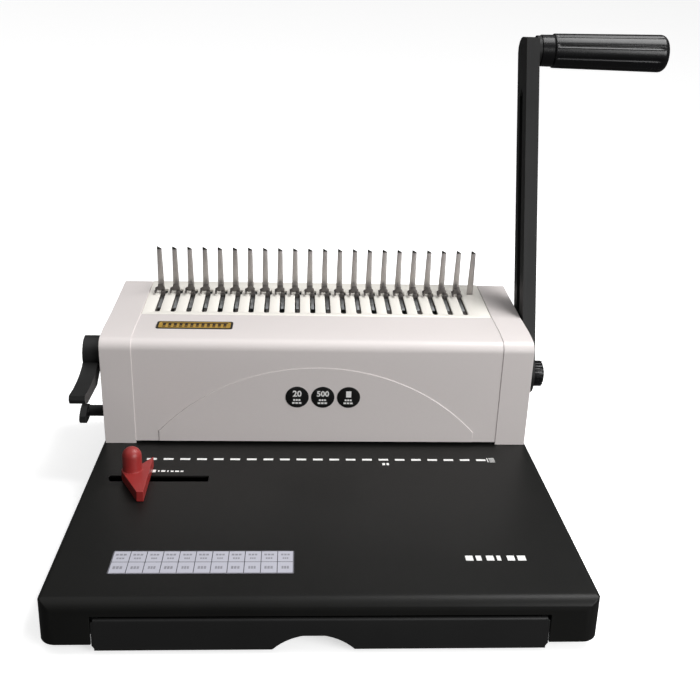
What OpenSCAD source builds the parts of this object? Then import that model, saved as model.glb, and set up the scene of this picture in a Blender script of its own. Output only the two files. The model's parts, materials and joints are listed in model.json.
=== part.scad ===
// Comb binding machine: base with chip tray, punch unit, comb opener, long side handle.
// Origin: centre of the base footprint on the table. +X right, +Y back, +Z up. Millimetres.

/* [Base] */
// Base width, left to right
base_w = 382; // [376:1:390]
// Base depth, front to back
base_d = 394; // [394:1:400]
// Height of the base top above the table
base_top = 42; // [42]
// Sheet thickness of the base cover
base_t = 2; // [1.5:0.5:2.5]
// Radius of the base's top front edge
base_edge_r = 9; // [6:1:12]
// Radius of the base's top side edges
base_side_r = 5; // [4:0.5:6]

/* [Chip tray] */
// Width of the tray front
tray_w = 307; // [300:1:308]
// Tray wall thickness
tray_t = 2; // [1.5:0.5:2.5]
// Width of the finger notch
notch_w = 56; // [40:2:70]

/* [Casing] */
// Half width of the middle cover
cover_x = 161; // [161]
// Half width over the side covers
side_x = 188; // [186:1:188]
// Sheet thickness of the covers
cover_t = 1.5; // [1:0.5:1.5]
// Slope of the comb deck in degrees
deck_tilt = 4.4; // [4.4]

/* [Comb] */
// Distance from hole to hole
pitch = 14.2875; // [14.2875]
// Number of punched holes
holes = 21; // [21]
// Post height above the deck
post_h = 45.5; // [38:0.5:48]
// Slot width in the deck
slot_w = 4.8; // [4.6:0.1:5.4]

/* [Punch] */
// Hole width along the sheet edge
punch_w = 8; // [7:0.5:8]
// Hole depth
punch_d = 3; // [2.5:0.5:3]
// Clearance round each punch
punch_gap = 0.1; // [0.1:0.05:0.2]
// Eccentric throw
throw_r = 10; // [10]
// Radius of the eccentric discs
disc_r = 17.5; // [17.5]

/* [Handle] */
// Lean of the arm at rest in degrees
arm_lean = 18.5; // [10:0.5:22]
// Arm length above its pivot
arm_len = 316; // [290:2:316]
// Arm thickness
arm_t = 12; // [10:1:12]
// Grip length
grip_len = 120; // [100:1:120]
// Running clearance of shafts and bores
run = 0.05; // [0.03:0.01:0.08]

/* [Hidden] */
$fn = 48;
e = 0.01;
skirt_z = 9;                       // lower edge of the base cover
die_y = 72;                        // line of the punched holes
die_z = base_top;                  // top of the die
guide_z = 44.6;                    // underside of the punch guide
drive = [101, 91];                 // drive shaft, y and z
lever = [64, 121.5];               // opener shaft, y and z
selector = [65, 65.5];             // margin selector shaft, y and z
gear_m = 1.5;                      // module of the opener gears
n_lever = 24;
n_idler = 12;
n_rack = 15;
rack_w = 12;                       // pitch line of the racks above the opener shaft
idler_w = rack_w - n_rack * gear_m / 2;
idler_v = sqrt(pow((n_lever + n_idler) * gear_m / 2, 2) - idler_w * idler_w);
idler = [lever[0] + idler_v * cos(deck_tilt) - idler_w * sin(deck_tilt),
         lever[1] + idler_v * sin(deck_tilt) + idler_w * cos(deck_tilt)];
mesh_a = deck_tilt + atan2(idler_w, idler_v);
deck_w = 19.86;                    // deck surface above the opener shaft
slot_x = 2.5;                      // slots sit a little right of the posts
corner = [50.06, 132.18];          // centre of the casing's rounded front edge
rear_corner = [186, 144.8];        // centre of its rounded rear edge
grip_at = arm_len - 13;
grip = [drive[0] + grip_at * sin(arm_lean), drive[1] + grip_at * cos(arm_lean)];
arm_x = 189.5;

// ---- helpers -------------------------------------------------------------
module along_x(x0, len) {
  translate([x0, 0, 0]) rotate([90, 0, 90]) linear_extrude(len) children();
}
module rod_x(x0, len, yz, r) {
  translate([x0, yz[0], yz[1]]) rotate([0, 90, 0]) cylinder(r = r, h = len);
}
module on_deck() {
  translate([0, lever[0], lever[1]]) rotate([deck_tilt, 0, 0]) children();
}
module round_rect(w, d, r) {
  square([w - 2 * r, d], center = true);
  square([w, d - 2 * r], center = true);
  for (sx = [-1, 1]) for (sy = [-1, 1])
    translate([sx * (w / 2 - r), sy * (d / 2 - r)]) circle(r);
}
module both() {
  children();
  mirror([1, 0, 0]) children();
}
function flank(n, r) = let (rb = n * gear_m / 2 * cos(20), a = r > rb ? acos(rb / r) : 0)
  (PI * gear_m / 2 - 0.32) / (n * gear_m) * 180 / PI
  + (tan(20) * 180 / PI - 20) - (tan(a) * 180 / PI - a);
module gear2d(n) {
  rp = n * gear_m / 2;
  rb = rp * cos(20);
  r0 = rp - 1.05 * gear_m;
  r1 = rp + 0.8 * gear_m;
  rm = max(rb, r0) + 0.01;
  rs = [r0, rm, rm + (r1 - rm) * 0.35, rm + (r1 - rm) * 0.7, r1];
  polygon([for (k = [0:n - 1]) for (j = [0:9])
    let (r = j < 5 ? rs[j] : rs[9 - j], s = j < 5 ? -1 : 1, a = k * 360 / n + s * flank(n, r))
    [r * cos(a), r * sin(a)]]);
}
module gear(n, yz, a, x0, len, bore) {
  translate([x0, yz[0], yz[1]]) rotate([90, 0, 90]) linear_extrude(len) difference() {
    rotate(a) gear2d(n);
    circle(bore);
  }
}
// point where the tangent from p meets the circle (c, r), on side s
function tangent(p, c, r, s) = let (d = c - p, l = norm(d), a = s * asin(r / l))
  p + [d[0] * cos(a) - d[1] * sin(a), d[0] * sin(a) + d[1] * cos(a)] * sqrt(l * l - r * r) / l;
function arc(c, from, to, n) = let (r = norm(from - c),
    a = (atan2(from[1] - c[1], from[0] - c[0]) + 360) % 360,
    b = (atan2(to[1] - c[1], to[0] - c[0]) + 360) % 360)
  [for (i = [0:n]) let (t = a + (b - a) * i / n) c + r * [cos(t), sin(t)]];
// side outline of the casing, moved inwards by d
module outline(d, floor_z) {
  foot = [47 + d, 43.2];
  t1 = tangent(foot, corner, 9 - d, 1);
  t2 = tangent([66, 143.2 - d], corner, 9 - d, -1);
  t3 = tangent([104, 144.5 - d], rear_corner, 6 - d, 1);
  polygon(concat([foot + (t1 - foot) * (floor_z - foot[1]) / (t1[1] - foot[1])],
    arc(corner, t1, t2, 10), [[66, 143.2 - d], [104, 144.5 - d]],
    arc(rear_corner, t3, rear_corner + [6 - d, 0], 8), [[rear_corner[0] + 6 - d, floor_z]]));
}

// ---- base ----------------------------------------------------------------
// flat top of height h and half width w whose edges are rounded by r
module edge_profile(w, r, h) {
  translate([-w, 0]) square([2 * w, h - r]);
  translate([-w + r, 0]) square([2 * w - 2 * r, h]);
  for (s = [-1, 1]) translate([s * (w - r), h - r]) circle(r);
}
module base_solid(d) {
  intersection() {
    translate([0, 0, skirt_z - 2]) linear_extrude(base_top - skirt_z + 2 - d)
      round_rect(base_w - 2 * d, base_d - 2 * d, 12 - d);
    along_x(-base_w / 2, base_w) edge_profile(base_d / 2 - d, base_edge_r - d, base_top - d);
    translate([0, base_d / 2, 0]) rotate([90, 0, 0]) linear_extrude(base_d)
      edge_profile(base_w / 2 - d, base_side_r - d, base_top - d);
  }
}
module base_shell() color("#232322") difference() {
  base_solid(0);
  base_solid(base_t);
  translate([-250, -250, -10]) cube([500, 500, skirt_z + 9]);
  translate([-155.5, -base_d / 2 - 5, 0]) cube([311, 30, 30]);
  translate([-158.5, 56, 30]) cube([317, 32, 20]);
  translate([0, 0, 30]) linear_extrude(20)
    polygon([[-171.5, -26], [-91.5, -26], [-91.5, -16], [-173, -16], [-174, -18.5]]);
}
module base_plate() color("#8d9094") difference() {
  translate([0, 0, skirt_z]) linear_extrude(1.5) round_rect(base_w - 4.6, base_d - 4.6, 9.5);
  translate([-158, -base_d / 2 - 5, 0]) cube([316, 101 + base_d / 2, 20]);
  for (x = [-174, 174]) for (y = [-168, 168]) translate([x, y, 0]) cylinder(r = 2.1, h = 20);
}
module rubber_feet() color("#1c1c1c")
  for (x = [-174, 174]) for (y = [-168, 168]) translate([x, y, 0]) difference() {
    cylinder(r1 = 9, r2 = 10.5, h = skirt_z);
    translate([0, 0, -1]) cylinder(r = 4.6, h = 5);
    cylinder(r = 2.1, h = 20);
  }
module foot_screws() color("#b9bcc0")
  for (x = [-174, 174]) for (y = [-168, 168]) translate([x, y, 0]) difference() {
    union() {
      translate([0, 0, 2.2]) cylinder(r = 4.2, h = 1.8);
      translate([0, 0, 2.2]) cylinder(r = 2, h = 12);
    }
    translate([-3, -0.4, 1]) cube([6, 0.8, 2]);
    translate([-0.4, -3, 1]) cube([0.8, 6, 2]);
  }
module tray_runners() color("#a2a5a8") both() {
  translate([155, -188, 10.5]) cube([1.5, 282, 16]);
  translate([155, -188, 10.5]) cube([12, 282, 1.5]);
  translate([151.7, -188, 23.7]) cube([4, 282, 1.6]);
}
module chip_tray() color("#1f1f1f") difference() {
  union() {
    translate([-tray_w / 2, -197, 3.5]) cube([tray_w, 4, 22.5]);
    translate([-tray_w / 2, -195, 26]) rotate([0, 90, 0]) cylinder(r = 2, h = tray_w);
    translate([-151, -195, 3.5]) cube([302, 287, 22.5]);
    translate([-154.3, -190, 25.5]) cube([308.6, 282, 1.5]);
  }
  translate([-151 + tray_t, -182, 3.5 + tray_t]) cube([302 - 2 * tray_t, 274 - tray_t, 40]);
  translate([-151 + tray_t, -193, 15.5 + tray_t]) cube([302 - 2 * tray_t, 20, 40]);
  translate([-6, -150, 0]) rotate([90, 0, 0]) translate([0, 0, 32.2]) linear_extrude(20)
    translate([0, 15 - 0.5 * (pow(notch_w / 2, 2) / 11.5 + 11.5)])
      circle(0.5 * (pow(notch_w / 2, 2) / 11.5 + 11.5));
}

// ---- covers --------------------------------------------------------------
module front_line(x0, len, d0, d1) {
  along_x(x0, len) polygon([[47 - d1, 43.2], [47 - d0, 43.2],
    [41.35 - d0, 127.5], [41.35 - d1, 127.5]]);
}
module cover_sheet() along_x(-cover_x, 2 * cover_x) difference() {
  outline(0, guide_z);
  outline(cover_t, guide_z - 1);
}
module rear_panel() color("#cfc8c6") intersection() {
  cover_sheet();
  translate([-200, 190.4, 0]) cube([400, 10, 200]);
}
module casing() color("#d8d0ce") union() {
  intersection() {
    cover_sheet();
    translate([-200, 20, 0]) cube([400, 84, 200]);
  }
  intersection() {
    front_line(-141, 281.5, -0.4, 0.8);
    translate([-0.3, 60, 0]) rotate([90, 0, 0]) linear_extrude(60) intersection() {
      translate([0, -71.4]) circle(188.4, $fn = 128);
      translate([-140.3, guide_z]) square([280.6, 90]);
    }
  }
}
module side_cover() difference() {
  along_x(cover_x, side_x - cover_x) outline(-0.6, base_top);
  along_x(cover_x - 1, side_x - cover_x - 1) outline(1.4, base_top - 1);
}
module left_side_cover() color("#d4cccb") difference() {
  mirror([1, 0, 0]) side_cover();
  rod_x(-195, 20, lever, 6.5);
  rod_x(-195, 20, selector, 6);
}
module right_side_cover() color("#d4cccb") difference() {
  side_cover();
  rod_x(175, 20, drive, 8);
}
module comb_deck() color("#f6f0e8") difference() {
  union() {
    translate([-cover_x + 0.3, 0, 0]) on_deck() translate([0, 41.6, deck_w - 2])
      cube([2 * cover_x - 0.6, 86.2, 2]);
  }
  for (i = [0:holes - 1]) translate([(i - holes / 2) * pitch + slot_x, 0, 0]) on_deck() {
    translate([-slot_w / 2, 48 + slot_w / 2, 10]) cube([slot_w, 50, 20]);
    translate([0, 48 + slot_w / 2, 10]) cylinder(r = slot_w / 2, h = 20, $fn = 24);
  }
  for (i = [0:holes]) translate([(i - holes / 2) * pitch, 165, 149.2])
    rotate([7.9, 0, 0]) translate([-3.1, -1.1, -12]) cube([6.2, 2.2, 24]);
  on_deck() translate([(holes / 2) * pitch + slot_x - 1, 92, 10]) cube([2, 8, 20]);
}
module posts(grow) {
  for (i = [0:holes]) translate([(i - holes / 2) * pitch, 165, 149.2]) rotate([7.9, 0, 0])
    rotate([90, 0, 0]) translate([0, 0, -0.75 - grow]) linear_extrude(1.5 + 2 * grow)
      polygon([[-2.9, -14], [2.9, -14], [2.9, 4], [1.95, post_h - 2.5], [-1.95, post_h],
        [-2.9, 4]]);
}
module comb_posts() color("#9a9696") posts(0);
module post_rail() color("#8d9094") difference() {
  translate([-158, 162.5, 128]) cube([316, 10, 18]);
  posts(0);
}

// ---- frame ---------------------------------------------------------------
module chassis2d() {
  polygon([[51, 42], [182, 42], [182, 130],
    [lever[0] + 112 * cos(deck_tilt) - (deck_w - 2) * sin(deck_tilt),
     lever[1] + 112 * sin(deck_tilt) + (deck_w - 2) * cos(deck_tilt)],
    [lever[0] + 41 * cos(deck_tilt) - (deck_w - 2) * sin(deck_tilt),
     lever[1] + 41 * sin(deck_tilt) + (deck_w - 2) * cos(deck_tilt)],
    [66, 141], [54, 138], [48, 130]]);
}
module chassis() {
  difference() {
    along_x(158, 3) chassis2d();
    translate([150, 83, 41]) cube([20, 20, 4.5]);
    rod_x(150, 20, idler, 4 + run);
    for (yz = [[130, 80], [160, 80], [130, 110]]) rod_x(150, 20, yz, 9);
  }
  translate([143, 112, base_top]) cube([16, 66, 3]);
}
module chassis_left() color("#8d9094") difference() {
  mirror([1, 0, 0]) chassis();
  rod_x(-170, 20, lever, 5 + run);
  rod_x(-170, 20, selector, 5 + run);
}
module chassis_right() color("#8d9094") difference() {
  chassis();
  rod_x(150, 20, drive, 8.5);
}
module bracket() {
  difference() {
    along_x(127, 3) polygon([[104, 42], [126, 42], [126, 118], [112, 131], [56, 129],
      [54, 114], [66, 108], [66, 92], [70, 89.8], [88, 89.8], [92, 79], [104, 79]]);
    rod_x(120, 20, drive, 8.5);
    rod_x(120, 20, idler, 4 + run);
  }
  translate([112, 104, base_top]) cube([16, 22, 3]);
}
module bearing_bracket_left() color("#9b9ea1") difference() {
  mirror([1, 0, 0]) bracket();
  rod_x(-140, 20, lever, 5 + run);
}
module bearing_bracket_right() color("#9b9ea1") bracket();
module shaft_bushes() color("#b08d4a") for (x = [-130.5, 126.5, 157.5]) difference() {
  rod_x(x, 4, drive, 8.5);
  rod_x(x - 1, 6, drive, 6 + run);
}
module carriage_rails() color("#9b9ea1") both() on_deck()
  translate([119, -6, 11.4]) cube([8, 102, 2.2]);

// ---- punch unit ----------------------------------------------------------
module hole_row(w, d, z0, z1) {
  for (i = [0:holes - 1])
    translate([(i - (holes - 1) / 2) * pitch - w / 2, die_y - d / 2, z0]) cube([w, d, z1 - z0]);
}
module die_block() color("#7f8286") difference() {
  translate([-158, 57, 28]) cube([316, 30, die_z - 28]);
  hole_row(punch_w + 2 * punch_gap, punch_d + 2 * punch_gap, 20, 60);
  hole_row(punch_w + 2, punch_d + 2, 20, 36);
  die_holes();
}
module die_holes() {
  both() for (y = [60.5, 68]) translate([154, y, 20]) cylinder(r = 2.05, h = 60, $fn = 32);
}
module gap_spacers() color("#a2a5a8") difference() {
  both() translate([150.5, 57, die_z]) cube([7.5, 30, guide_z - die_z]);
  die_holes();
  both() translate([153, 80, 30]) cylinder(r = 3.5, h = 40);
}
module punch_guide() color("#85888c") difference() {
  translate([-158, 57, guide_z]) cube([316, 30, 10.4]);
  hole_row(punch_w + 2 * punch_gap, punch_d + 2 * punch_gap, 30, 80);
  die_holes();
  both() translate([153, 80, 30]) cylinder(r = 3.5, h = 40);
}
module die_bolts() color("#55585c") both() for (y = [60.5, 68]) translate([154, y, 0])
  difference() {
    union() {
      translate([0, 0, 30]) cylinder(r = 2, h = 26);
      translate([0, 0, 55]) cylinder(r = 3.5, h = 1.8);
    }
    translate([0, 0, 55.6]) cylinder(r = 1.7, h = 5, $fn = 6);
  }
module guide_columns() color("#c4c7ca") both() translate([153, 80, guide_z - 2])
  cylinder(r = 3.5, h = 49.5);
// room for the eccentric discs above the push shelf
module disc_notch() {
  both() translate([103.5, 75.2, drive[1] - throw_r * 1.14]) cube([13, 62, 30]);
}
module punch_bar() color("#74777b") difference() {
  union() {
    translate([-156.5, 58, 70]) cube([313, 28, 14]);
    translate([-122, 84, 72]) cube([244, 24, drive[1] - throw_r * 1.14 - 72]);
  }
  disc_notch();
  hole_row(punch_w, punch_d, 60, 90);
  hole_row(punch_w + 2, punch_d + 2, 82, 90);
  both() translate([153, 80, 60]) cylinder(r = 3.5 + run, h = 40);
  both() for (k = [3.5, 8.5]) translate([k * pitch, 80, 60]) cylinder(r = 4.8, h = 20);
  both() for (k = [1.5, 5.5, 9.5]) translate([k * pitch, 64, 74]) cylinder(r = 2.05, h = 20);
}
module punch_pins() color("#c9cccf") for (i = [0:holes - 1])
  translate([(i - (holes - 1) / 2) * pitch, die_y, 0]) {
    low = 46 + 1.2 * abs(i % 4 - 1.5);
    translate([-punch_w / 2, -punch_d / 2, low]) cube([punch_w, punch_d, 84 - low]);
    translate([-punch_w / 2 - 1, -punch_d / 2 - 1, 82]) cube([punch_w + 2, punch_d + 2, 2]);
  }
module punch_keeper() color("#8d9094") difference() {
  translate([-156.5, 59, 84]) cube([313, 26, 4.4]);
  disc_notch();
  both() translate([153, 80, 60]) cylinder(r = 4.2, h = 40);
  both() for (k = [1.5, 5.5, 9.5]) translate([k * pitch, 64, 74]) cylinder(r = 2.05, h = 20);
}
module keeper_screws() color("#55585c") both() for (k = [1.5, 5.5, 9.5])
  translate([k * pitch, 64, 0]) difference() {
    union() {
      translate([0, 0, 76]) cylinder(r = 2, h = 13);
      translate([0, 0, 88.4]) cylinder(r = 3.6, h = 2);
    }
    translate([-0.5, -4, 89.6]) cube([1, 8, 2]);
  }
module return_springs() color("#b4b7ba") both() for (k = [3.5, 8.5])
  translate([k * pitch, 80, 55.7]) {
    rotate_extrude() translate([3.6, 0]) circle(0.6, $fn = 16);
    for (j = [0:5]) translate([0, 0, 2.2 + j * 3.86]) rotate([0, (j % 2 ? 1 : -1) * 25, 0])
      rotate_extrude() translate([3.6, 0]) circle(0.6, $fn = 16);
    translate([0, 0, 23.5]) rotate_extrude() translate([3.6, 0]) circle(0.6, $fn = 16);
  }
module drive_shaft() color("#c0c3c6") difference() {
  rod_x(-133, 334.4, drive, 6);
  rod_x(189.8, 20, drive, 3 + run);
}
module eccentric_discs() color("#8a8d91") for (x = [-115, 105]) difference() {
  rod_x(x, 10, [drive[0] - throw_r * cos(40), drive[1] + throw_r * sin(40)], disc_r);
  rod_x(x - 1, 12, drive, 6);
}

// ---- handle --------------------------------------------------------------
module arm2d() {
  // along the arm, 0 at the pivot: straight front, level top, round rear corner
  polygon([[-17.6, 0], [17, 0], [21, 14], [19.5, arm_len - 10], [17.5, arm_len - 5],
    [12.5, arm_len - 1.4], [6, arm_len], [0, arm_len - 0.6], [-17.6, arm_len - 6.5]]);
}
module arm_groove2d() {
  polygon([[-3, 26], [9.5, 26], [9.5, arm_len - 54], [3.2, arm_len - 48], [-3, arm_len - 54]]);
}
module lean() {
  translate([0, drive[0], drive[1]]) rotate([-arm_lean, 0, 0]) children();
}
module handle_arm() color("#313133") difference() {
  union() {
    rod_x(arm_x, arm_t, drive, 18);
    lean() along_x(arm_x, arm_t) arm2d();
  }
  lean() along_x(arm_x - 1, 4.5) arm_groove2d();
  lean() along_x(arm_x + arm_t - 2, 3) arm_groove2d();
  rod_x(150, 100, drive, 6);
  rod_x(150, 100, grip, 5);
}
module grip_spindle() color("#2a2a2b") {
  rod_x(arm_x, grip_len + 9, grip, 5);
  rod_x(arm_x + arm_t, 4.3, grip, 13.5);
}
module handle_grip() color("#1b1b1c") difference() {
  translate([206, grip[0], grip[1]]) rotate([0, 90, 0]) {
    cylinder(r1 = 14.2, r2 = 14.6, h = 11);
    translate([0, 0, 11]) cylinder(r1 = 15.6, r2 = 17.2, h = grip_len - 18);
    translate([0, 0, grip_len - 7]) rotate_extrude() intersection() {
      translate([10.2, 0]) circle(7);
      square([20, 20]);
    }
    translate([0, 0, grip_len - 7]) cylinder(r = 10.2, h = 7);
  }
  rod_x(200, grip_len - 0.5, grip, 5 + run);
}
module clamp_knob() color("#202021") difference() {
  union() {
    rod_x(arm_x + arm_t + 0.1, 11, drive, 12.2);
    rod_x(190.5, 15.5, drive, 3);
  }
  for (a = [0:20:340]) translate([arm_x + arm_t + 1.6, drive[0], drive[1]])
    rotate([a, 0, 0]) translate([0, 12.6, 0]) rotate([0, 90, 0]) cylinder(r = 1.1, h = 12, $fn = 24);
}

// ---- comb opener ---------------------------------------------------------
module opener_lever() color("#262627") difference() {
  union() {
    rod_x(-204, 14.5, lever, 15);
    along_x(-204, 13) polygon([[58, 134.6], [51, 118], [44, 114.6], [34, 111.9], [22, 110.2],
      [8, 109.4], [-8, 110], [-9.5, 106.5], [-8, 103], [0, 99.9], [42, 99.5], [58, 107.8],
      [64, 121.5]]);
    rod_x(-190, 1.2, lever, 9);
  }
  rod_x(-201, 30, lever, 5);
}
module lever_shaft() color("#c0c3c6") rod_x(-201, 74.5, lever, 5);
module lever_gear() color("#b08d4a") gear(n_lever, lever, mesh_a, -146, 8, 5);
module idler_shaft() color("#c0c3c6") rod_x(-160.5, 321, idler, 4);
module idler_gear() color("#b08d4a")
  gear(n_idler, idler, mesh_a + 180 + 180 / n_idler, -146, 8, 4);
module rack_pinions() color("#b08d4a") for (x = [-156.5, 149.5])
  gear(n_rack, idler, 90 + deck_tilt, x, 7, 4);
module opener_racks() color("#9b9ea1") both() on_deck() along_x(149, 8) difference() {
  translate([20, rack_w - 0.8 * gear_m]) square([54, 13.8 - rack_w + 0.8 * gear_m]);
  p = PI * gear_m;
  h = p / 4 + 0.16;
  for (k = [-2:10]) translate([idler_v + k * p, rack_w])
    polygon([[-h - 3 * tan(20), -3], [h + 3 * tan(20), -3],
      [h - 1.05 * gear_m * tan(20), 1.05 * gear_m], [-h + 1.05 * gear_m * tan(20), 1.05 * gear_m]]);
}
module hook_carriage() color("#a7aaad") difference() {
  on_deck() translate([-157, 30, 13.8]) cube([314, 68, 3]);
  on_deck() translate([-149, 29, 13]) cube([16, 33, 6]);
  on_deck() for (k = [-4:4]) translate([k * 2 * pitch - 9, 40, 13]) cube([18, 40, 6]);
}
module comb_hooks() color("#6f6c6b") for (i = [0:holes - 1])
  translate([(i - holes / 2) * pitch, 0, 0]) on_deck() {
    translate([slot_x - 1.8, 93, 16.8]) cube([3.6, 5, 5.2]);
    translate([0, 96.8, 0]) rotate([90, 0, 0]) linear_extrude(1.8) polygon([[-5.2, 22.6],
      [-5.4, 25.2], [-3.8, 26.6], [-2.2, 27.2], [-1.8, 30.6], [2.9, 31], [3.2, 27.8],
      [4.6, 26.4], [4.7, 20.9], [0.7, 20.9], [0.7, 22.8], [-2, 22.6]]);
    translate([-5, 89, 21.6]) cube([1.8, 6.1, 2]);
    translate([0.7, 91.5, 21]) cube([3.6, 3.6, 1.6]);
  }

// ---- margin selector and edge guide --------------------------------------
module margin_selector() color("#262627") difference() {
  union() {
    rod_x(-210.5, 52.5, selector, 5);
    along_x(-210.5, 6) polygon([[65, 59.1], [59, 58.4], [52, 58.8], [49, 61.8], [50, 66],
      [58, 71], [65, 71.9], [69.6, 70], [71.4, 65.5], [69.6, 61]]);
  }
}
module selector_arm() color("#8d9094") difference() {
  union() {
    rod_x(-170, 4, selector, 8.5);
    along_x(-170, 4) polygon([[61, 60], [63.2, 47], [66.8, 47], [69, 60]]);
    rod_x(-170, 4, [65, 46.9], 2.6);
  }
  rod_x(-180, 20, selector, 5);
}
module depth_stop() color("#a2a5a8") difference() {
  union() {
    translate([-149, 77, 42.3]) cube([298, 15, 2]);
    translate([-174, 91.5, 42.3]) cube([323, 6.5, 2]);
    translate([-174, 57, 42.3]) cube([10, 41, 2]);
    translate([-174, 58, 42.3]) cube([10, 14, 6.7]);
  }
  translate([-180, 62.1, 43.5]) cube([30, 5.8, 20]);
}
module edge_guide() color("#a63a38") {
  pivot = [-153, -23];
  heel = [-146.5, -12];
  t1 = tangent(heel, pivot, 9, -1);
  t2 = tangent([-144.2, -61.5], pivot, 9, 1);
  translate([0, 0, base_top + 0.4]) linear_extrude(9)
    polygon(concat([[-138.8, -61.5], [-139.2, 1], heel], arc(pivot, t1, t2, 12), [[-144.2, -61.5]]));
  translate([pivot[0], pivot[1], base_top]) rotate_extrude() polygon(concat([[0, 8], [7.9, 8]],
    [for (a = [0:10:80]) [7.9 * cos(a), 21.6 + 7.9 * sin(a)]], [[0, 29.5]]));
  translate([-157, -25.7, 38]) cube([8, 9.4, 6]);
}
module guide_shoe() color("#8d9094") translate([-163, -30, 35.6]) cube([20, 18, 2.4]);

// ---- small parts ---------------------------------------------------------
module cover_screws() color("#b9bcc0") for (x = [-150, -60, 60, 150])
  translate([x, 192, 60]) rotate([-90, 0, 0]) difference() {
    cylinder(r = 3.5, h = 1.6);
    translate([-0.4, -3, 0.8]) cube([0.8, 6, 2]);
    translate([-3, -0.4, 0.8]) cube([6, 0.8, 2]);
  }
module size_label() color("#cdcdd7") translate([-149, -163.4, base_top]) cube([129, 29.4, 0.2]);
module hole_marks() color("#ececec") for (i = [0:holes - 1])
  translate([(i - (holes - 1) / 2) * pitch - 4.2, 13.4, base_top]) cube([8.4, 3.2, 0.15]);
module name_plate() color("#c9a24a") translate([-143, 66.2, 143.25]) rotate([1.95, 0, 0])
  cube([67, 18, 0.6]);
module feature_badges() color("#1b1b1c") for (x = [-18.5, 4.1, 26.8])
  translate([x, 43.93, 89]) rotate([93.83, 0, 0]) translate([0, 0, 0.8])
    cylinder(r = 10.25, h = 0.5);

base_shell();
base_plate();
rubber_feet();
foot_screws();
tray_runners();
chip_tray();
casing();
rear_panel();
left_side_cover();
right_side_cover();
comb_deck();
comb_posts();
post_rail();
chassis_left();
chassis_right();
bearing_bracket_left();
bearing_bracket_right();
shaft_bushes();
die_block();
gap_spacers();
punch_guide();
die_bolts();
guide_columns();
punch_bar();
punch_pins();
punch_keeper();
keeper_screws();
return_springs();
drive_shaft();
eccentric_discs();
handle_arm();
grip_spindle();
handle_grip();
clamp_knob();
opener_lever();
lever_shaft();
lever_gear();
idler_shaft();
idler_gear();
rack_pinions();
hook_carriage();
opener_racks();
comb_hooks();
carriage_rails();
margin_selector();
selector_arm();
depth_stop();
edge_guide();
guide_shoe();
cover_screws();
size_label();
hole_marks();
name_plate();
feature_badges();
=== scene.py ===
import json
import math

import bmesh
import bpy
from bpy.props import (FloatProperty, FloatVectorProperty, IntProperty, PointerProperty)
from mathutils import Matrix, Vector


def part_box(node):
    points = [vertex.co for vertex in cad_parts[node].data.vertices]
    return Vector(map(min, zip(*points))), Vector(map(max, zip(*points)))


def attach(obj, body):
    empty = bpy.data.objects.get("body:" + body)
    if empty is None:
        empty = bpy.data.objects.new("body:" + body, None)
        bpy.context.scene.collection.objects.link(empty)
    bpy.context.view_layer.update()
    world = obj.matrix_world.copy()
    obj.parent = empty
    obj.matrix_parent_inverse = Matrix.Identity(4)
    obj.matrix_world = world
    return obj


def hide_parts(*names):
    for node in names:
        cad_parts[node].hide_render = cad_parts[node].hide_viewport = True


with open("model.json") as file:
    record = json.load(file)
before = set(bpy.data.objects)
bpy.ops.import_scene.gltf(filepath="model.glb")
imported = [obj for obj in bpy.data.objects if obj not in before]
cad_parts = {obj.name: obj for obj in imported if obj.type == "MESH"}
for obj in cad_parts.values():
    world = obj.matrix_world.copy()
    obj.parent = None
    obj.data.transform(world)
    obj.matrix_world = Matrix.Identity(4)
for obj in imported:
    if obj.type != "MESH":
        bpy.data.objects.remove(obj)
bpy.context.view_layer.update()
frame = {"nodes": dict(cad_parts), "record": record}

bl_info = {
    "name": "Comb binding machine",
    "version": (1, 0, 0),
    "blender": (4, 5, 0),
    "location": "View3D > Sidebar > Comb binder",
    "description": "Builds the outside, marks and materials of a desktop comb binding machine",
    "category": "Add Mesh",
}

MM = 0.001
NODES = frame["nodes"]
SLOTS = {part["node"]: part["material_slot"] for part in frame["record"]["subparts"]}
BODIES = {node: body for body, nodes in frame["record"]["behaviour"]["bodies"].items()
          for node in nodes}
PITCH = 14.2875          # comb hole spacing, 9/16 inch, in mm
HOLES = 21
DECK_TILT = math.radians(4.4)
DECK_TOP = 19.86         # deck surface above the opener shaft, in mm
DECK = (Matrix.Translation((0, 64 * MM, 121.5 * MM)) @ Matrix.Rotation(DECK_TILT, 4, "X"))
POST_LEAN = math.radians(7.9)
FRONT_LEAN = math.atan2(47 - 41.35, 127.5 - 43.2)    # the casing's front tips forward
BASE_TOP = 42.0          # top face of the base, in mm
INK = 0.12               # thickness at which printed marks are drawn, in mm
FOOT_SPACING = (348 * MM, 336 * MM)    # between the feet, across and along


def rgb(code):
    """Linear colour of an sRGB hex code."""
    parts = [int(code[i:i + 2], 16) / 255 for i in (1, 3, 5)]
    return tuple(c / 12.92 if c <= 0.04045 else ((c + 0.055) / 1.055) ** 2.4 for c in parts)


# ---- settings ---------------------------------------------------------------
def colour(label, text, code):
    return FloatVectorProperty(name=label, description=text, subtype="COLOR", size=3,
                               min=0, max=1, default=rgb(code))


def length(label, text, mm, low=0.0):
    return FloatProperty(name=label, description=text, unit="LENGTH", subtype="DISTANCE",
                         min=low * MM, default=mm * MM, precision=4)


class BinderColours(bpy.types.PropertyGroup):
    base: colour("Base", "Powder coat of the base cover", "#161615")
    casing: colour("Casing", "Enamel of the middle cover", "#E3DCDA")
    covers: colour("Side covers", "Moulded side covers", "#E2DBD9")
    deck: colour("Comb deck", "Cream enamel under the comb", "#FBF7EF")
    handle: colour("Handle", "Satin paint of the handle arm", "#1D1D1D")
    levers: colour("Levers", "Moulded levers on the left", "#171717")
    guide: colour("Paper guide", "Moulded paper guide", "#962C2A")
    plate: colour("Plate", "Gold plate on the casing", "#E8BC55")
    print_white: colour("White print", "Screen print on the base", "#F2F2F0")


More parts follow.
